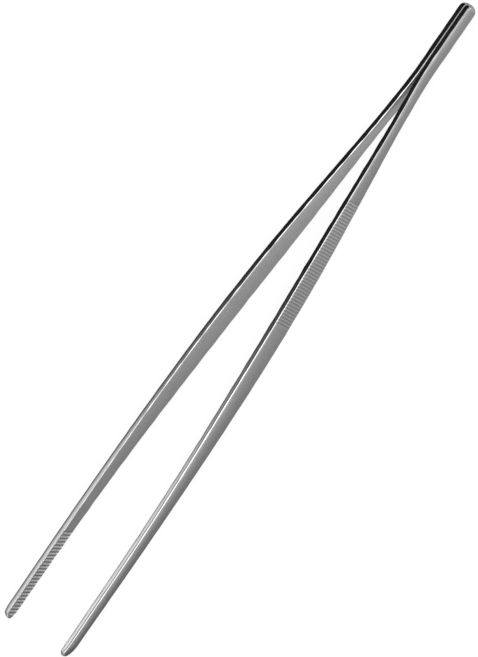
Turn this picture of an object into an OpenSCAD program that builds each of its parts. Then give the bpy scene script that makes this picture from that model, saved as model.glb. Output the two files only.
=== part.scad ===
// Long straight aquascaping tweezers: two mirror-image stainless steel strips, spot-welded at the heel.
// They lie on their side edges. X runs from the butt to the tips, Y across the gap between the arms,
// Z along the width of the strips. The origin is below the middle of the whole length, on the surface
// that the tweezers lie on.

/* [Overall] */
// Length from the butt end to the tips
length = 300; // [290:1:320]

/* [Bend of each strip, seen from the edge] */
// Length of the straight heel, where the two strips lie against each other
heel_length = 27.5; // [24:0.5:30]
// Length of the outward bend in front of the heel
bend_length = 13; // [10:1:18]
// Angle at which each arm leaves the centre line, in degrees
spread_angle = 5.4; // [4.5:0.1:6]
// Length of the straight stretch between the outward bend and the long return curve
reach_length = 67.5; // [60:0.5:76]
// Length of the long curve that brings each arm back parallel to the centre line
return_length = 159; // [150:1:166]

/* [Thickness of each strip] */
// At the heel
heel_thickness = 2.5; // [2:0.1:2.6]
// At the springy neck
neck_thickness = 2.4; // [1.8:0.1:2.5]
// At the grip
grip_thickness = 2.5; // [1.9:0.1:2.7]
// At the jaw
jaw_thickness = 2.6; // [1.9:0.1:2.7]
// Length over which the outer face curves over to the butt
butt_nose = 2; // [1:0.1:2.5]
// Length over which the outer face curves over to the tip
tip_nose = 6; // [3:0.5:8]

/* [Width of each strip] */
// At the butt
butt_width = 7.2; // [6.4:0.1:8.4]
// At the waist of the neck
waist_width = 6; // [5.4:0.1:6.8]
// At the grip, the widest place
grip_width = 11.5; // [10:0.1:13]
// At the root of the jaw
jaw_width = 6.5; // [6:0.1:7.4]
// At the tip
tip_width = 5.2; // [5:0.1:6]
// Distance of the waist from the butt
waist_at = 53; // [50:1:56]
// Distance of the middle of the grip from the butt
grip_at = 140; // [134:1:144]
// Length of the straight, widest stretch at the grip
grip_flat = 18; // [12:1:24]
// Distance of the root of the jaw from the butt
jaw_at = 255; // [250:1:258]
// Length of the rounding at the butt
butt_round = 3; // [2:0.1:3.4]
// Length of the rounding at the tip
tip_round = 2.8; // [2:0.1:3.2]

/* [Grip ribs on the outer faces] */
// Number of grooves
rib_count = 42; // [30:1:44]
// Distance from one groove to the next
rib_pitch = 1.35; // [1.2:0.01:1.4]
// Depth of the grooves
rib_depth = 0.3; // [0.15:0.05:0.4]
// Distance of the first groove from the butt
rib_start = 91; // [88:1:95]
// Lean of the grooves from square, in degrees
rib_lean = 5; // [0:1:12]

/* [Teeth on the inner faces of the jaws] */
// Number of grooves
tooth_count = 25; // [16:1:26]
// Distance from one groove to the next
tooth_pitch = 1.6; // [1.4:0.05:1.65]
// Depth of the grooves
tooth_depth = 0.35; // [0.25:0.05:0.5]
// Distance of the last groove from the tip
tooth_end = 2.2; // [2:0.1:4]
// Lean of the grooves from square, in degrees
tooth_lean = 17; // [0:1:20]

/* [Spot welds inside the heel] */
// Number of weld nuggets
weld_count = 2; // [1:1:2]
// Diameter of a nugget
weld_diameter = 4; // [3:0.1:4.5]
// Depth of a nugget in each strip
weld_depth = 1; // [0.6:0.1:1.2]
// Distance of the first nugget from the butt
weld_start = 8; // [6:1:9]
// Distance from one nugget to the next
weld_pitch = 12; // [8:1:12]

/* [Spring joint in each neck] */
// Distance along the strip from the butt to the axis that the arm swings about
pivot_at = 57; // [55:1:60]
// Clearance round the knuckle at the axis
knuckle_clearance = 0.05; // [0.03:0.01:0.08]

/* [Hidden] */

$fn = 64;
// Distance between points along the gentle curves, and along the tight bend in front of the heel
step = 3;
bend_step = 1;
// Degrees between points round the ends
end_step = 15;
// Where the heel starts to narrow towards the waist
taper_start = heel_length - 8;
// How far beyond the waist the width has risen a little, by how much, and its slope there
waist_run = 12;
waist_gain = 0.55;
rise_slope = 0.088;
// Where the widest stretch of the grip starts and ends
flat_start = grip_at - grip_flat / 2;
flat_end = grip_at + grip_flat / 2;
// Slope of the width along the jaw
jaw_slope = (tip_width - jaw_width) / (length - jaw_at);
// How far beyond the knuckle's axis the neck keeps its thickness
neck_run = 8;
// Share of the thickness that is left at the very butt and tip
end_share = 0.3;
// Share of the width that each rounded corner of the two ends takes
corner_share = 0.48;
// Width of a groove at the face that it is cut in
groove_width = 0.62;
// Half the height of a cutter that is wider than any strip
blank = 10;
// Depth of a block that holds a whole strip
block_depth = 60;

// The inner face as seen from the edge: lengths, and the turns along them in degrees.
// The last stretch runs straight on past the tip.
stretches = [
    [heel_length, 0],
    [bend_length, spread_angle],
    [reach_length, 0],
    [return_length, -spread_angle],
    [length, 0],
];

// The pose [x, y, heading] after a distance d along one stretch, from the pose p
function along(p, stretch, d) =
    stretch[1] == 0
    ? [p[0] + d * cos(p[2]), p[1] + d * sin(p[2]), p[2]]
    : let (r = stretch[0] / (stretch[1] * PI / 180), a = p[2] + stretch[1] * d / stretch[0])
      [p[0] + r * (sin(a) - sin(p[2])), p[1] + r * (cos(p[2]) - cos(a)), a];

// The pose at the distance s from the butt, along the inner face of the strip
function place(s, i = 0, p = [0, 0, 0]) =
    i == len(stretches) - 1 || s <= stretches[i][0]
    ? along(p, stretches[i], s)
    : place(s - stretches[i][0], i + 1, along(p, stretches[i], stretches[i][0]));

// Length of the strip, measured along its inner face
bends_end = heel_length + bend_length + reach_length + return_length;
strip_length = bends_end + length - place(bends_end)[0];

// Share of the thickness at the distance d from an end, where the outer face curves over in a quarter
// ellipse of the length nose
function nose_share(d, nose) =
    end_share + (1 - end_share) * sqrt(1 - pow(1 - min(1, d / nose), 2));

// Thickness at the distance s
function thickness(s) =
    nose_share(s, butt_nose) * nose_share(strip_length - s, tip_nose) * lookup(s, [
        [heel_length, heel_thickness],
        [waist_at, neck_thickness],
        [pivot_at + neck_run, neck_thickness],
        [grip_at, grip_thickness],
        [jaw_at, jaw_thickness],
    ]);

// A cubic curve from the value v0 with slope m0 to the value v1 with slope m1, over the span h
function cubic(v0, m0, v1, m1, h, u) =
    v0 * (1 - 3 * u * u + 2 * pow(u, 3)) + v1 * (3 * u * u - 2 * pow(u, 3))
    + h * m0 * u * pow(1 - u, 2) - h * m1 * u * u * (1 - u);

// One span of the width: the cubic between two knots [distance, width, slope]
function span_width(a, b, x) =
    cubic(a[1], a[2], b[1], b[2], b[0] - a[0], (x - a[0]) / (b[0] - a[0]));

// Knots of the width, from the butt to the tip
knots = [
    [0, butt_width, 0],
    [taper_start, butt_width, 0],
    [waist_at, waist_width, 0],
    [waist_at + waist_run, waist_width + waist_gain, rise_slope],
    [flat_start, grip_width, 0],
    [flat_end, grip_width, 0],
    [jaw_at, jaw_width, jaw_slope],
    [length, tip_width, jaw_slope],
];
function width(x, i = 0) =
    i == len(knots) - 2 || x <= knots[i + 1][0]
    ? span_width(knots[i], knots[i + 1], x)
    : width(x, i + 1);

// Evenly spaced distances from a to b, at most h apart
function steps_between(a, b, h) =
    let (n = ceil((b - a) / h)) [for (i = [0 : n]) a + (b - a) * i / n];

// Distances from the butt at which the inner and outer faces get a point
bend_end = heel_length + bend_length;
face_steps = concat(
    [for (a = [0 : end_step : 90]) butt_nose * (1 - cos(a))],
    steps_between(heel_length, bend_end, bend_step),
    [pivot_at],
    steps_between(bend_end + reach_length, bends_end, step),
    [for (a = [0 : end_step : 90]) strip_length - tip_nose * (1 - sin(a))]
);

// A point at the height h over the inner face, at the distance s
function over(s, h) = let (p = place(s)) [p[0] - h * sin(p[2]), p[1] + h * cos(p[2])];

// The knuckle's axis, in the middle of the neck
pivot = over(pivot_at, thickness(pivot_at) / 2);
pivot_heading = place(pivot_at)[2];
knuckle_radius = thickness(pivot_at) / 2;

// The strip seen from its edge
module edge_view() {
    inner = [for (s = face_steps) over(s, 0)];
    outer = [for (i = [len(face_steps) - 1 : -1 : 0]) over(face_steps[i], thickness(face_steps[i]))];
    polygon(concat(inner, outer));
}

// Half the plane, beyond the knuckle's axis
module beyond_pivot() {
    translate(pivot) rotate(pivot_heading) translate([0, -length / 2]) square(length);
}

// The rounded corner of a strip that is w wide: a quarter ellipse from the end inwards, rl long
function corner(w, rl) =
    [for (a = [0 : end_step : 90]) [rl * (1 - cos(a)), w * (0.5 - corner_share * (1 - sin(a)))]];

// The same points in the opposite order
function reversed(list) = [for (i = [len(list) - 1 : -1 : 0]) list[i]];

// The upper long edge of the face, from the butt to the tip
long_edge = concat(
    corner(butt_width, butt_round),
    [for (x = steps_between(taper_start, flat_start, step)) [x, width(x) / 2]],
    [for (x = steps_between(flat_end, length - tip_round - step, step)) [x, width(x) / 2]],
    [for (p = reversed(corner(tip_width, tip_round))) [length - p[0], p[1]]]
);

// The face of the strip: its width along the length, with both ends rounded
module face_view() {
    polygon(concat(long_edge, [for (p = reversed(long_edge)) [p[0], -p[1]]]));
}

// A block with the outline of the face: the strip is what it has in common with the edge view
module face_block() {
    rotate([90, 0, 0]) linear_extrude(block_depth, center = true) face_view();
}

// A V-groove across the face at the height h over the inner face: d deep, on the side +1 (outer
// face) or -1 (inner face), with its upper end leaning towards the tip
module groove(s, h, side, d, lean) {
    translate(over(s, h)) rotate([0, lean, place(s)[2]]) linear_extrude(2 * blank, center = true)
        polygon([[-groove_width, side * d], [0, -side * d], [groove_width, side * d]]);
}

module ribs() {
    for (i = [0 : rib_count - 1]) {
        s = rib_start + i * rib_pitch;
        groove(s, thickness(s), 1, rib_depth, rib_lean);
    }
}

module teeth() {
    for (i = [0 : tooth_count - 1])
        groove(strip_length - tooth_end - i * tooth_pitch, 0, -1, tooth_depth, tooth_lean);
}

// The weld nuggets, centred on the plane between the two strips
module nuggets() {
    for (i = [0 : weld_count - 1])
        translate([weld_start + i * weld_pitch, 0, 0]) rotate([90, 0, 0])
            cylinder(d = weld_diameter, h = 2 * weld_depth, center = true);
}

// The right strip behind the knuckle's axis: the heel and the root of the neck
module heel() {
    difference() {
        intersection() {
            linear_extrude(2 * blank, center = true) difference() {
                edge_view();
                beyond_pivot();
                translate(pivot) circle(knuckle_radius + knuckle_clearance);
            }
            face_block();
        }
        nuggets();
    }
}

// The right strip in front of the knuckle's axis, with its ribs and teeth
module arm() {
    difference() {
        intersection() {
            linear_extrude(2 * blank, center = true) union() {
                intersection() {
                    edge_view();
                    beyond_pivot();
                }
                translate(pivot) circle(knuckle_radius);
            }
            face_block();
        }
        ribs();
        teeth();
    }
}

// From the butt and the centre plane of the strips to the part's own frame
module placed() {
    translate([-length / 2, 0, grip_width / 2]) children();
}

module right_heel() {
    color("silver") placed() heel();
}

module left_heel() {
    color("silver") placed() mirror([0, 1, 0]) heel();
}

module right_arm() {
    color("gainsboro") placed() arm();
}

module left_arm() {
    color("gainsboro") placed() mirror([0, 1, 0]) arm();
}

module spot_welds() {
    color("dimgray") placed() nuggets();
}

left_heel();
right_heel();
left_arm();
right_arm();
spot_welds();
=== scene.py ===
"""Long straight aquascaping tweezers of satin-polished stainless steel, lying on their side edges.

Each strip is one continuous mesh from the butt to the tip. It stands for the heel and the arm that
the CAD model has on the two sides of the cut in the neck.
"""
import bpy
from math import atan, ceil, cos, pi, radians, sin, sqrt, tan
from mathutils import Matrix, Vector


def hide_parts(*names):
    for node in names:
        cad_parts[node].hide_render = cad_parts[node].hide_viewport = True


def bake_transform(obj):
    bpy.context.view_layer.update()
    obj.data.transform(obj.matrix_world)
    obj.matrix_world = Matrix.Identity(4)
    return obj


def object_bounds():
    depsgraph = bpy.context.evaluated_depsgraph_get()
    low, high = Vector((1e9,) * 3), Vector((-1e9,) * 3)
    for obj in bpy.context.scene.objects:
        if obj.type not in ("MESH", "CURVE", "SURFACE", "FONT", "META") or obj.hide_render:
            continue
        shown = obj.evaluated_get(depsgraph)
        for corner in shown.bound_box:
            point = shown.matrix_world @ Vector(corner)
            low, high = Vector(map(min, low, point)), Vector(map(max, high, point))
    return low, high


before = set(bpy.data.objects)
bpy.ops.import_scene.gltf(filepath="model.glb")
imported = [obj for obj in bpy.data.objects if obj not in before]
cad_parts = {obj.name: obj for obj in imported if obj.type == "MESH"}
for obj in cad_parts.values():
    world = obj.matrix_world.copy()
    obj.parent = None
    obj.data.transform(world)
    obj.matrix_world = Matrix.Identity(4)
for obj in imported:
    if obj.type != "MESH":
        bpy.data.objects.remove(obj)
CAD_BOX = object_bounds()

MM = 0.001

# The strips' driving dimensions in mm, as in part.scad. Distances run from the butt along the strip.
LENGTH = (CAD_BOX[1][0] - CAD_BOX[0][0]) / MM
HEEL_LENGTH = 27.5
BEND_LENGTH = 13
SPREAD_ANGLE = radians(5.4)
REACH_LENGTH = 67.5
RETURN_LENGTH = 159

HEEL_THICKNESS = 2.5
NECK_THICKNESS = 2.4
GRIP_THICKNESS = 2.5
JAW_THICKNESS = 2.6
BUTT_NOSE = 2
TIP_NOSE = 6
END_SHARE = 0.3

BUTT_WIDTH = 7.2
WAIST_WIDTH = 6
GRIP_WIDTH = (CAD_BOX[1][2] - CAD_BOX[0][2]) / MM
JAW_WIDTH = 6.5
TIP_WIDTH = 5.2
TAPER_START = HEEL_LENGTH - 8
WAIST_AT = 53
WAIST_RUN = 12
WAIST_GAIN = 0.55
RISE_SLOPE = 0.088
GRIP_AT = 140
GRIP_FLAT = 18
JAW_AT = 255
CORNER_SHARE = 0.48
BUTT_ROUND = (3.0, CORNER_SHARE * BUTT_WIDTH)
TIP_ROUND = (2.8, CORNER_SHARE * TIP_WIDTH)

RIB_COUNT = 42
RIB_PITCH = 1.35
RIB_DEPTH = 0.3
RIB_START = 91
RIB_LEAN = radians(5)
RIBS_END = RIB_START + RIB_COUNT * RIB_PITCH

TOOTH_COUNT = 25
TOOTH_PITCH = 1.6
TOOTH_DEPTH = 0.35
TOOTH_END = 2.2
TOOTH_LEAN = radians(17)
# Each groove gets shallower by this share over this width along its two ends
TOOTH_FADE = 0.6
TOOTH_FADE_WIDTH = 1.1

PIVOT_AT = 57
NECK_RUN = 8

# Small clearance that keeps the visual model inside the CAD model's box
SKIN = 0.004


# ---------------------------------------------------------------- the strip's course and sizes

STRETCHES = (
    (HEEL_LENGTH, 0),
    (BEND_LENGTH, SPREAD_ANGLE),
    (REACH_LENGTH, 0),
    (RETURN_LENGTH, -SPREAD_ANGLE),
    (LENGTH, 0),
)


def along(pose, stretch, d):
    """The pose (x, y, heading) after a distance d along one stretch (length, turn)."""
    x, y, h = pose
    length, turn = stretch
    if turn == 0:
        return x + d * cos(h), y + d * sin(h), h
    r = length / turn
    a = h + turn * d / length
    return x + r * (sin(a) - sin(h)), y + r * (cos(h) - cos(a)), a


def place(s):
    """The pose on the inner face at the distance s from the butt."""
    pose = (0, 0, 0)
    for stretch in STRETCHES[:-1]:
        if s <= stretch[0]:
            return along(pose, stretch, s)
        pose = along(pose, stretch, stretch[0])
        s -= stretch[0]
    return along(pose, STRETCHES[-1], s)


BENDS_END = HEEL_LENGTH + BEND_LENGTH + REACH_LENGTH + RETURN_LENGTH
STRIP_LENGTH = BENDS_END + LENGTH - place(BENDS_END)[0]
S_END = STRIP_LENGTH - SKIN
FIRST_TOOTH = STRIP_LENGTH - TOOTH_END - (TOOTH_COUNT - 1) * TOOTH_PITCH


def ramp(a, b, s):
    """0 before a, 1 after b, smooth between them."""
    u = min(1, max(0, (s - a) / (b - a)))
    return u * u * (3 - 2 * u)


def lookup(s, table):
    """Linear interpolation in a table of (distance, value)."""
    if s <= table[0][0]:
        return table[0][1]
    for (s0, v0), (s1, v1) in zip(table, table[1:]):
        if s <= s1:
            return v0 + (v1 - v0) * (s - s0) / (s1 - s0)
    return table[-1][1]


def nose_share(d, nose):
    """Share of the thickness at the distance d from an end, where the outer face curves over."""
    u = min(1, max(0, d / nose))
    return END_SHARE + (1 - END_SHARE) * sqrt(1 - (1 - u) ** 2)


def thickness(s):
    """Thickness at s."""
    return nose_share(s, BUTT_NOSE) * nose_share(STRIP_LENGTH - s, TIP_NOSE) * lookup(s, (
        (HEEL_LENGTH, HEEL_THICKNESS),
        (WAIST_AT, NECK_THICKNESS),
        (PIVOT_AT + NECK_RUN, NECK_THICKNESS),
        (GRIP_AT, GRIP_THICKNESS),
        (JAW_AT, JAW_THICKNESS),
    ))


JAW_SLOPE = (TIP_WIDTH - JAW_WIDTH) / (LENGTH - JAW_AT)
WIDTH_KNOTS = (
    (0, BUTT_WIDTH, 0),
    (TAPER_START, BUTT_WIDTH, 0),
    (WAIST_AT, WAIST_WIDTH, 0),
    (WAIST_AT + WAIST_RUN, WAIST_WIDTH + WAIST_GAIN, RISE_SLOPE),
    (GRIP_AT - GRIP_FLAT / 2, GRIP_WIDTH, 0),
    (GRIP_AT + GRIP_FLAT / 2, GRIP_WIDTH, 0),
    (JAW_AT, JAW_WIDTH, JAW_SLOPE),
    (LENGTH, TIP_WIDTH, JAW_SLOPE),
)


def width(x):
    """Width at the distance x from the butt: cubic curves between the knots (distance, width, slope)."""
    x = min(x, LENGTH)
    for (x0, w0, m0), (x1, w1, m1) in zip(WIDTH_KNOTS, WIDTH_KNOTS[1:]):
        if x <= x1:
            break
    h = x1 - x0
    u = (x - x0) / h
    return (
        w0 * (1 - 3 * u ** 2 + 2 * u ** 3) + w1 * (3 * u ** 2 - 2 * u ** 3)
        + h * m0 * u * (1 - u) ** 2 - h * m1 * u * u * (1 - u)
    )


# ---------------------------------------------------------------- the strip's cross-section

# Rounding of the two ends, seen from the edge
END_RADIUS = 0.3
ARC_STEPS = 6
FACE_STEPS = 12
# Distance from the butt beyond which the outer face's crown and its corners' base size stay the same
FULL_CROWN_AT = 185
# Distance from the butt at which the inner face's crown starts to flatten towards the teeth
INNER_CROWN_END = 200
# Wave lengths of the unevenness of hand polishing, with the share of each
POLISH_WAVES = ((14.3, 0.4), (9.1, 0.35), (6.3, 0.25))
OUTER_UNEVENNESS = 0.25
# Share of the teeth's pitch that is flat on each crest, and again in the bottom of each groove
TOOTH_CREST = 0.12


def wobble(s, phase):
    """Slow unevenness of hand polishing along the strip, between -1 and 1."""
    return sum(share * sin(2 * pi * s / length + phase * length) for length, share in POLISH_WAVES)


def outer_crown(s):
    """How much the outer face bulges across the strip."""
    return lookup(s, ((RIBS_END, 0.15), (FULL_CROWN_AT, 0.32)))


def inner_crown(s):
    """How much the inner face bulges: it is flat at the heel and at the teeth."""
    return 0.15 * ramp(HEEL_LENGTH, RIB_START, s) * (1 - ramp(INNER_CROWN_END, FIRST_TOOTH - 2, s))


def outer_corner(s):
    """Radius of the corners between the outer face and the side edges."""
    base = lookup(s, (
        (0, 0.82),
        (HEEL_LENGTH, 0.72),
        (WAIST_AT, 0.47),
        (RIBS_END, 0.45),
        (FULL_CROWN_AT, 0.6),
    ))
    return base * (1 + OUTER_UNEVENNESS * wobble(s, 1.0))


def inner_corner(s):
    """Radius of the corners between the inner face and the side edges."""
    base = lookup(s, ((HEEL_LENGTH, 0.42), (WAIST_AT, 0.42), (RIBS_END, 0.4), (JAW_AT, 0.35)))
    unevenness = lookup(s, ((HEEL_LENGTH, 0.3), (WAIST_AT, 0.65)))
    return base * (1 + unevenness * wobble(s, 2.3))


def groove_profile(s, first, pitch, count, crest):
    """0 on a crest and 1 in the bottom of one of count grooves; crest is the share of the pitch that
    is flat on each crest, and again in each bottom."""
    n = (s - first) / pitch
    if n < -0.5 or n > count - 0.5:
        return 0
    off = abs(n - round(n)) * 2
    return min(1, max(0, (1 - crest - off) / (1 - 2 * crest)))


def rib(s):
    """Depth of the rounded grip ribs' grooves under the crown of the outer face."""
    n = (s - RIB_START) / RIB_PITCH
    if n < -0.5 or n > RIB_COUNT - 0.5:
        return 0
    return RIB_DEPTH * (0.5 + 0.5 * cos(2 * pi * n))


def tooth(s):
    """Depth of the jaw teeth's grooves in the inner face."""
    return TOOTH_DEPTH * groove_profile(s, FIRST_TOOTH, TOOTH_PITCH, TOOTH_COUNT, TOOTH_CREST)


def lean(s):
    """Lean of the cross-section from square; it follows the ribs, then the teeth."""
    at_ribs = ramp(RIB_START - 22, RIB_START - 3, s) * (1 - ramp(RIBS_END + 3, RIBS_END + 25, s))
    at_teeth = ramp(FIRST_TOOTH - 30, FIRST_TOOTH - 3, s) * (1 - ramp(S_END - TOOTH_END, S_END, s))
    return RIB_LEAN * at_ribs + TOOTH_LEAN * at_teeth


def end_inset(d):
    """How far each face draws in at the distance d from the end of the strip."""
    d = min(d, END_RADIUS)
    return END_RADIUS - sqrt(END_RADIUS ** 2 - (END_RADIUS - d) ** 2)


def end_narrowing(d, rounding):
    """How far each side edge draws in at the distance d from a rounded end (length, width)."""
    length, across = rounding
    if d >= length:
        return 0
    c = 1 - d / length
    return across * (1 - sqrt(1 - c * c))


# Limits that keep the crown and the corners inside a thin or narrow section, as shares of its sizes
CROWN_SHARE = 0.22
INNER_CORNER_SHARES = (0.3, 0.5)
OUTER_CORNER_SHARES = (0.62, 0.7)
CORNER_OVERLAP = 0.1


def section_sizes(s):
    """Sizes of the cross-section at s: half width, heights of the two faces, their bulges, corners."""
    to_butt, to_tip = s, S_END - s
    half = width(place(s)[0]) / 2 - SKIN
    half -= end_narrowing(to_butt, BUTT_ROUND) + end_narrowing(to_tip, TIP_ROUND)
    inset = end_inset(min(to_butt, to_tip))
    low = SKIN + inset
    high = thickness(s) - SKIN - inset
    bulge = min(outer_crown(s), CROWN_SHARE * (high - low)) * min(1, half / 2)
    r_in = min(inner_corner(s), INNER_CORNER_SHARES[0] * (high - low), INNER_CORNER_SHARES[1] * half)
    r_out = min(
        outer_corner(s),
        OUTER_CORNER_SHARES[0] * (high - low - bulge) - CORNER_OVERLAP * r_in,
        OUTER_CORNER_SHARES[1] * half,
    )
    return half, low, high, bulge, inner_crown(s), r_in, r_out


def crown_end(half, bulge, r_out):
    """Where the crown of the outer face meets its corner: distance from the middle, and slope there."""
    slope = 0
    for _ in range(4):
        q_end = half - r_out + r_out * sin(slope)
        slope = atan(2 * bulge * q_end / half ** 2)
    return q_end, slope


def inner_outline(half, low, hollow, r_in):
    """Points of the inner face, then those of the corner at its far edge (across, height, kind)."""
    def bottom(q):
        return low + hollow * (q / half) ** 2

    points = []
    for i in range(FACE_STEPS + 1):
        q = (half - r_in) * (2 * i / FACE_STEPS - 1)
        points.append((q, bottom(q), "inner" if i < FACE_STEPS else "edge"))
    corner_low = bottom(half - r_in)
    arc = []
    for i in range(1, ARC_STEPS + 1):
        a = pi / 2 * i / ARC_STEPS
        arc.append((half - r_in + r_in * sin(a), corner_low + r_in * (1 - cos(a)), "edge"))
    return points, arc


def outer_outline(half, high, bulge, r_out):
    """Points of the outer face, and those of the corner before it (across, height, kind)."""
    def top(q):
        return high - bulge * (q / half) ** 2

    q_end, slope = crown_end(half, bulge, r_out)
    centre = half - r_out, top(q_end) - r_out * cos(slope)
    arc = []
    for i in range(ARC_STEPS):
        a = (pi / 2 - slope) * i / ARC_STEPS
        arc.append((centre[0] + r_out * cos(a), centre[1] + r_out * sin(a), "edge"))
    points = []
    for i in range(FACE_STEPS + 1):
        q = q_end * (1 - 2 * i / FACE_STEPS)
        points.append((q, top(q), "outer" if i < FACE_STEPS else "edge"))
    return points, arc


def mirrored(arc):
    """The corner on the other edge, run through the other way."""
    return [(-q, h, kind) for q, h, kind in reversed(arc)]


def section(s):
    """One closed cross-section at s: points (across, height over the inner face, kind), where kind is
    the kind of the surface that follows the point."""
    half, low, high, bulge, hollow, r_in, r_out = section_sizes(s)
    inner, inner_arc = inner_outline(half, low, hollow, r_in)
    outer, outer_arc = outer_outline(half, high, bulge, r_out)
    points = inner + inner_arc + outer_arc + outer + mirrored(outer_arc) + mirrored(inner_arc)

    # The ribs and the teeth are cut to a level, so they run out over the rounded corners
    ceiling = high - rib(s)
    groove = tooth(s)
    cut = []
    for q, h, kind in points:
        floor = low + groove * (1 - TOOTH_FADE * ramp(half - TOOTH_FADE_WIDTH, half, abs(q)))
        cut.append((q, min(max(h, floor), ceiling), kind))
    return cut


def ring_stations():
    """Distances of the cross-sections: close together at the ends, the ribs and the teeth."""
    def spread(a, b, gap):
        n = ceil((b - a) / gap)
        return [a + (b - a) * i / n for i in range(n + 1)]

    def grooves(first, pitch, count, phases):
        return [first + pitch * (i + p) for i in range(count) for p in phases]

    end_angles = [radians(a) for a in range(0, 91, 6)]
    fine = (
        [BUTT_ROUND[0] * (1 - cos(a)) for a in end_angles]
        + [S_END - TIP_ROUND[0] * (1 - cos(a)) for a in end_angles]
        + grooves(RIB_START, RIB_PITCH, RIB_COUNT, [k / 8 - 0.5 for k in range(8)])
        + [RIB_START + RIB_PITCH * (RIB_COUNT - 0.5)]
        + grooves(FIRST_TOOTH, TOOTH_PITCH, TOOTH_COUNT, (-0.5, -0.44, -0.25, -0.06, 0.06, 0.25, 0.44))
    )
    stations = sorted(s for s in fine if 0 <= s <= S_END)
    for s in spread(0, S_END, 1.2):
        if min(abs(s - f) for f in fine) > 0.6:
            stations.append(s)
    stations.sort()
    kept = [stations[0]]
    for s in stations[1:-1]:
        if s - kept[-1] > 0.02 and stations[-1] - s > 0.002:
            kept.append(s)
    return kept + [stations[-1]]


# ---------------------------------------------------------------- meshes

MID_HEIGHT = GRIP_WIDTH / 2


def face_slot(s, kind):
    """Which of the strip's materials a face has."""
    ribbed = RIB_START - RIB_PITCH / 2 < s < RIBS_END - RIB_PITCH / 2
    if kind == "outer" and ribbed:
        return 3
    return {"inner": 0, "edge": 1, "outer": 2}[kind]


def build_strip(name, side, materials):
    """The strip on the side +1 (right) or -1 (left) of the centre plane."""
    vertices, faces, slots = [], [], []
    rings = [(s, section(s)) for s in ring_stations()]
    count = len(rings[0][1])
    for s, points in rings:
        shift = tan(lean(s))
        for q, h, _ in points:
            x, y, heading = place(s + q * shift)
            x -= h * sin(heading)
            y += h * cos(heading)
            vertices.append(((x - LENGTH / 2) * MM, side * y * MM, (q + MID_HEIGHT) * MM))
    for i in range(len(rings) - 1):
        for j in range(count):
            k = (j + 1) % count
            a, b = i * count, (i + 1) * count
            face = (a + j, b + j, b + k, a + k)
            faces.append(face if side > 0 else face[::-1])
            slots.append(face_slot(rings[i][0], rings[i][1][j][2]))
    first = tuple(range(count))
    last = tuple(range(len(vertices) - count, len(vertices)))
    faces += [first, last[::-1]] if side > 0 else [first[::-1], last]
    slots += [1, 1]

    mesh = bpy.data.meshes.new(name)
    mesh.from_pydata(vertices, [], faces)
    mesh.validate()
    for material in materials:
        mesh.materials.append(material)
    mesh.polygons.foreach_set("material_index", slots)
    mesh.polygons.foreach_set("use_smooth", [True] * len(mesh.polygons))
    mesh.set_sharp_from_angle(angle=radians(32))
    obj = bpy.data.objects.new(name, mesh)
    bpy.context.scene.collection.objects.link(obj)
    return obj


# ---------------------------------------------------------------- materials

def new_material(name):
    """An empty node material, with its nodes and links."""
    material = bpy.data.materials.new(name)
    material.use_nodes = True
    nodes = material.node_tree.nodes
    nodes.clear()
    return material, nodes, material.node_tree.links


# Scales of the steel's textures per metre. The brush lines are long along X and fine across it.
BRUSH_SCALE = (60, 5200, 5200)
DENT_SCALE = 170
SMUDGE_SCALE = 55
# Heights of the steel's bumps in metres
BRUSH_HEIGHT = 0.00002
DENT_HEIGHT = 0.0002
# How far the colour and the roughness vary, as shares of their own values
COLOUR_SHARES = (0.93, 1.05)
ROUGHNESS_SHARES = (0.8, 1.25)


def noise(nodes, links, vector, scale, detail):
    """A noise texture over the given coordinates."""
    texture = nodes.new("ShaderNodeTexNoise")
    texture.inputs["Scale"].default_value = scale
    texture.inputs["Detail"].default_value = detail
    links.new(vector, texture.inputs["Vector"])
    return texture


def brush_lines(nodes, links, vector):
    """Noise drawn out along X into brush lines."""
    stretch = nodes.new("ShaderNodeMapping")
    stretch.inputs["Scale"].default_value = BRUSH_SCALE
    links.new(vector, stretch.inputs["Vector"])
    lines = noise(nodes, links, stretch.outputs["Vector"], 1, 3)
    lines.inputs["Roughness"].default_value = 0.6
    return lines


def bump(nodes, links, height, strength, distance):
    """A bump node driven by a texture's height."""
    node = nodes.new("ShaderNodeBump")
    node.inputs["Strength"].default_value = strength
    node.inputs["Distance"].default_value = distance
    links.new(height, node.inputs["Height"])
    return node


def smudged_colour(nodes, links, factor, colour):
    """The steel's colour, slightly darker and paler in patches."""
    tint = nodes.new("ShaderNodeMix")
    tint.data_type = "RGBA"
    tint.inputs["A"].default_value = (*(COLOUR_SHARES[0] * c for c in colour), 1)
    tint.inputs["B"].default_value = (*(min(1, COLOUR_SHARES[1] * c) for c in colour), 1)
    links.new(factor, tint.inputs["Factor"])
    return tint.outputs["Result"]


def brushed_roughness(nodes, links, value, roughness):
    """The steel's roughness, which follows the brush lines."""
    gloss = nodes.new("ShaderNodeMapRange")
    gloss.inputs["From Min"].default_value = 0.3
    gloss.inputs["From Max"].default_value = 0.7
    gloss.inputs["To Min"].default_value = roughness * ROUGHNESS_SHARES[0]
    gloss.inputs["To Max"].default_value = roughness * ROUGHNESS_SHARES[1]
    links.new(value, gloss.inputs["Value"])
    return gloss.outputs["Result"]


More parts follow.
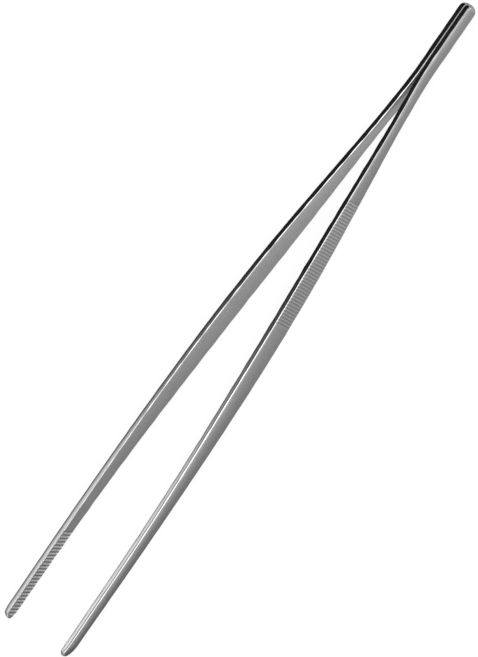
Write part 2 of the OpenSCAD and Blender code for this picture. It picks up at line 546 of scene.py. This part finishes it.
def steel(name, colour, roughness, brush, dents):
    """Stainless steel with fine lengthwise brush lines and the slight unevenness of hand polishing.

    brush is the strength of the lines and dents that of the unevenness."""
    material, nodes, links = new_material(name)
    shader = nodes.new("ShaderNodeBsdfPrincipled")
    output = nodes.new("ShaderNodeOutputMaterial")
    links.new(shader.outputs["BSDF"], output.inputs["Surface"])
    shader.inputs["Metallic"].default_value = 1

    coordinates = nodes.new("ShaderNodeTexCoord").outputs["Object"]
    lines = brush_lines(nodes, links, coordinates).outputs["Fac"]
    waves = noise(nodes, links, coordinates, DENT_SCALE, 2).outputs["Fac"]
    smudges = noise(nodes, links, coordinates, SMUDGE_SCALE, 4).outputs["Fac"]
    links.new(smudged_colour(nodes, links, smudges, colour), shader.inputs["Base Color"])
    links.new(brushed_roughness(nodes, links, lines, roughness), shader.inputs["Roughness"])

    wave_bump = bump(nodes, links, waves, dents, DENT_HEIGHT)
    line_bump = bump(nodes, links, lines, brush, BRUSH_HEIGHT)
    links.new(wave_bump.outputs["Normal"], line_bump.inputs["Normal"])
    links.new(line_bump.outputs["Normal"], shader.inputs["Normal"])
    return material


def floor_material():
    """White paper, most of whose white is its own glow, which keeps the contact shadows as weak as in
    the photo."""
    material, nodes, links = new_material("white_paper")
    paper = nodes.new("ShaderNodeBsdfDiffuse")
    paper.inputs["Color"].default_value = (0.9, 0.9, 0.9, 1)
    glow = nodes.new("ShaderNodeEmission")
    glow.inputs["Color"].default_value = (1, 1, 1, 1)
    glow.inputs["Strength"].default_value = 1.04
    mix = nodes.new("ShaderNodeMixShader")
    mix.inputs["Fac"].default_value = 0.85
    links.new(paper.outputs["BSDF"], mix.inputs[1])
    links.new(glow.outputs["Emission"], mix.inputs[2])
    output = nodes.new("ShaderNodeOutputMaterial")
    links.new(mix.outputs["Shader"], output.inputs["Surface"])
    return material


def grey_ramp(nodes, links, value, stops):
    """A ramp of greys: stops are (value, grey). The output is a colour."""
    low, high = stops[0][0], stops[-1][0]
    span = nodes.new("ShaderNodeMapRange")
    span.inputs["From Min"].default_value = low
    span.inputs["From Max"].default_value = high
    links.new(value, span.inputs["Value"])
    ramp_node = nodes.new("ShaderNodeValToRGB")
    elements = ramp_node.color_ramp.elements
    for i, (at, grey) in enumerate(stops):
        position = (at - low) / (high - low)
        element = elements[i] if i < 2 else elements.new(position)
        element.position = position
        element.color = (grey, grey, grey, 1)
    links.new(span.outputs["Result"], ramp_node.inputs["Fac"])
    return ramp_node.outputs["Color"]


def card_material(name, along_x, along_y):
    """A studio card that shines by the product of a ramp along its X and one along its Y, in metres."""
    material, nodes, links = new_material(name)
    place_node = nodes.new("ShaderNodeTexCoord")
    split = nodes.new("ShaderNodeSeparateXYZ")
    links.new(place_node.outputs["Object"], split.inputs["Vector"])
    glow = nodes.new("ShaderNodeEmission")
    links.new(grey_ramp(nodes, links, split.outputs["X"], along_x), glow.inputs["Color"])
    links.new(grey_ramp(nodes, links, split.outputs["Y"], along_y), glow.inputs["Strength"])
    output = nodes.new("ShaderNodeOutputMaterial")
    links.new(glow.outputs["Emission"], output.inputs["Surface"])
    return material


# ---------------------------------------------------------------- studio

def plane(name, size_x, size_y, matrix, material):
    """A flat rectangle of the stage."""
    x, y = size_x / 2, size_y / 2
    mesh = bpy.data.meshes.new(name)
    mesh.from_pydata([(-x, -y, 0), (x, -y, 0), (x, y, 0), (-x, y, 0)], [], [(0, 1, 2, 3)])
    mesh.materials.append(material)
    obj = bpy.data.objects.new(name, mesh)
    obj.matrix_world = matrix
    bpy.context.scene.collection.objects.link(obj)
    return obj


def add_floor():
    """The white surface that the tweezers lie on, a hair below them."""
    below = Matrix.Translation((0, 0, CAD_BOX[0][2] - 0.0002))
    floor = plane("floor", 12, 12, below, floor_material())
    # The steel mirrors the grey cards in place of the floor, as if it hung in a light tent
    floor.visible_glossy = False


def add_card(name, centre, size, tilt, along_x, along_y):
    """A card that only the steel's reflections see, tilted about X."""
    matrix = Matrix.Translation(centre) @ Matrix.Rotation(tilt, 4, "X")
    card = plane(name, size[0], size[1], matrix, card_material(name, along_x, along_y))
    card.visible_camera = False
    card.visible_diffuse = False
    card.visible_shadow = False
    return card


def add_area_light(name, position, target, size, power):
    """A rectangular light that faces a target."""
    data = bpy.data.lights.new(name, "AREA")
    data.shape = "RECTANGLE"
    data.size, data.size_y = size
    data.energy = power
    lamp = bpy.data.objects.new(name, data)
    lamp.location = position
    lamp.rotation_euler = (Vector(target) - Vector(position)).to_track_quat("-Z", "Y").to_euler()
    bpy.context.scene.collection.objects.link(lamp)
    return lamp


def add_world():
    """A light tent: pale above the horizon, greyer straight overhead and below the horizon."""
    world = bpy.data.worlds.new("tent")
    bpy.context.scene.world = world
    world.use_nodes = True
    nodes, links = world.node_tree.nodes, world.node_tree.links
    nodes.clear()
    direction = nodes.new("ShaderNodeTexCoord")
    split = nodes.new("ShaderNodeSeparateXYZ")
    links.new(direction.outputs["Generated"], split.inputs["Vector"])
    greys = ((-1, 0.3), (-0.15, 0.4), (-0.02, 0.42), (0.04, 0.7), (0.24, 0.85), (0.8, 0.8), (1, 0.4))
    background = nodes.new("ShaderNodeBackground")
    links.new(grey_ramp(nodes, links, split.outputs["Z"], greys), background.inputs["Color"])
    output = nodes.new("ShaderNodeOutputWorld")
    links.new(background.outputs["Background"], output.inputs["Surface"])


def add_camera():
    """A long lens, 60 degrees over the right-hand side, with the tips at the lower left."""
    axis_from_vertical = radians(34.6)
    distance = 3.1236
    offset_right, offset_down = -0.0056, 0.00332
    towards = Vector((0.046, 0.4995, 0.865)).normalized()
    look = -towards
    along_axis = Vector((1, 0, 0))
    along_axis = (along_axis - look * along_axis.dot(look)).normalized()
    across = look.cross(along_axis)
    down_part, right_part = cos(axis_from_vertical), -sin(axis_from_vertical)
    right = right_part * along_axis - down_part * across
    down = down_part * along_axis + right_part * across

    data = bpy.data.cameras.new("camera")
    data.sensor_fit = "VERTICAL"
    data.sensor_height = 36
    data.lens = 438.4
    data.clip_end = 50
    camera = bpy.data.objects.new("camera", data)
    centre = Vector((0, 0, MID_HEIGHT * MM))
    camera.matrix_world = Matrix.Translation(
        centre + towards * distance + right * offset_right + down * offset_down
    ) @ Matrix((right, -down, towards)).transposed().to_4x4()
    bpy.context.scene.collection.objects.link(camera)
    bpy.context.scene.camera = camera


# The three cards' ramps, as (metres from the card's middle, grey)
SIDE_CARD_ALONG = (
    (-1.2, 0.012), (-0.05, 0.015), (-0.02, 0.07), (0.01, 0.16), (0.028, 0.26), (0.042, 0.32),
    (0.057, 0.46), (0.073, 0.66), (0.09, 0.85), (0.14, 0.97), (1.2, 1.0),
)
SIDE_CARD_ACROSS = (
    (-0.244, 0.1), (0.056, 0.15), (0.086, 0.75), (0.103, 0.85), (0.121, 1.3), (0.136, 1.4),
    (0.161, 0.25), (0.244, 0.3),
)
LOWER_CARD_ALONG = (
    (-1.2, 0.35), (-0.61, 0.35), (-0.6, 1.5), (-0.27, 1.4), (-0.2, 0.93), (-0.15, 0.82),
    (-0.11, 0.77), (-0.07, 0.82), (-0.03, 0.77), (0.0, 0.72), (0.06, 0.6), (0.1, 0.53),
    (0.15, 0.43), (0.22, 0.28), (0.28, 0.3), (0.36, 0.9), (0.6, 1.4), (1.2, 1.6),
)
LOWER_CARD_ACROSS = ((-0.3, 0.3), (0.05, 0.55), (0.12, 0.95), (0.2, 1.6), (0.3, 1.8))
UPPER_CARD_ALONG = (
    (-1.2, 0.8), (-0.145, 0.9), (-0.125, 1.7), (-0.105, 2.7), (0.0, 2.3), (0.02, 2.8),
    (0.06, 2.6), (0.1, 2.1), (0.15, 1.7), (1.2, 1.7),
)
UPPER_CARD_ACROSS = ((-0.31, 0.2), (-0.245, 0.25), (-0.205, 1.0), (0.31, 1.0))
SIDE_CARD_TILT = atan(0.35 / 0.3)


def add_studio():
    """The tent, the floor, the cards that the steel reflects and one soft light."""
    add_world()
    add_floor()
    # Seen in the upward side edges and in the left strip's outer corner: black over the butt, paler
    # towards the tips, with one bright band along its upper half
    add_card("side_card", (0, -0.2083, 0.1656), (2.4, 0.488), SIDE_CARD_TILT,
             SIDE_CARD_ALONG, SIDE_CARD_ACROSS)
    # Seen in the upright faces
    add_card("lower_card", (0, 0.18, -0.3), (2.4, 0.6), 0, LOWER_CARD_ALONG, LOWER_CARD_ACROSS)
    # Seen in the corners between the two: dim over the heel, brightest from the neck to past the middle
    add_card("upper_card", (0, 0.29, 0.15), (2.4, 0.62), 0, UPPER_CARD_ALONG, UPPER_CARD_ACROSS)
    add_area_light("key", (-0.5, 0.9, 1.6), (0, 0, 0), (1.4, 1.0), 12)


# ---------------------------------------------------------------- the tweezers

def add_tweezers():
    """Both strips and the welds. The outer faces and the ribs have darker base colours than the inner
    faces. This is painted shade, chosen for the greys that they show under this studio's cards."""
    satin = steel("satin_steel", (0.66, 0.66, 0.663), 0.27, 0.35, 0.1)
    # Painted shade: the inner faces' satin steel with a darker base colour, for the grey that the outer
    # faces show
    outer = steel("outer_steel_painted_shade", (0.51, 0.51, 0.513), 0.27, 0.35, 0.1)
    # Painted shade: a darker base colour than the inner faces' steel, for the grey that the ribs show
    ribbed = steel("ribbed_steel_painted_shade", (0.63, 0.63, 0.633), 0.2, 0.2, 0.1)
    polished = steel("polished_steel", (0.66, 0.66, 0.663), 0.11, 0.04, 0.06)
    weld = steel("weld_steel", (0.42, 0.42, 0.422), 0.5, 0.6, 0.6)
    x, y, heading = place(PIVOT_AT)
    for side, name in ((1, "right"), (-1, "left")):
        strip = build_strip(name + "_strip", side, (satin, polished, outer, ribbed))
        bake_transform(strip)
        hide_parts(name + "_heel", name + "_arm")
    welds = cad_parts["spot_welds"]
    welds.data.materials.clear()
    welds.data.materials.append(weld)


bpy.context.scene.view_settings.view_transform = "Standard"
add_studio()
add_camera()
add_tweezers()
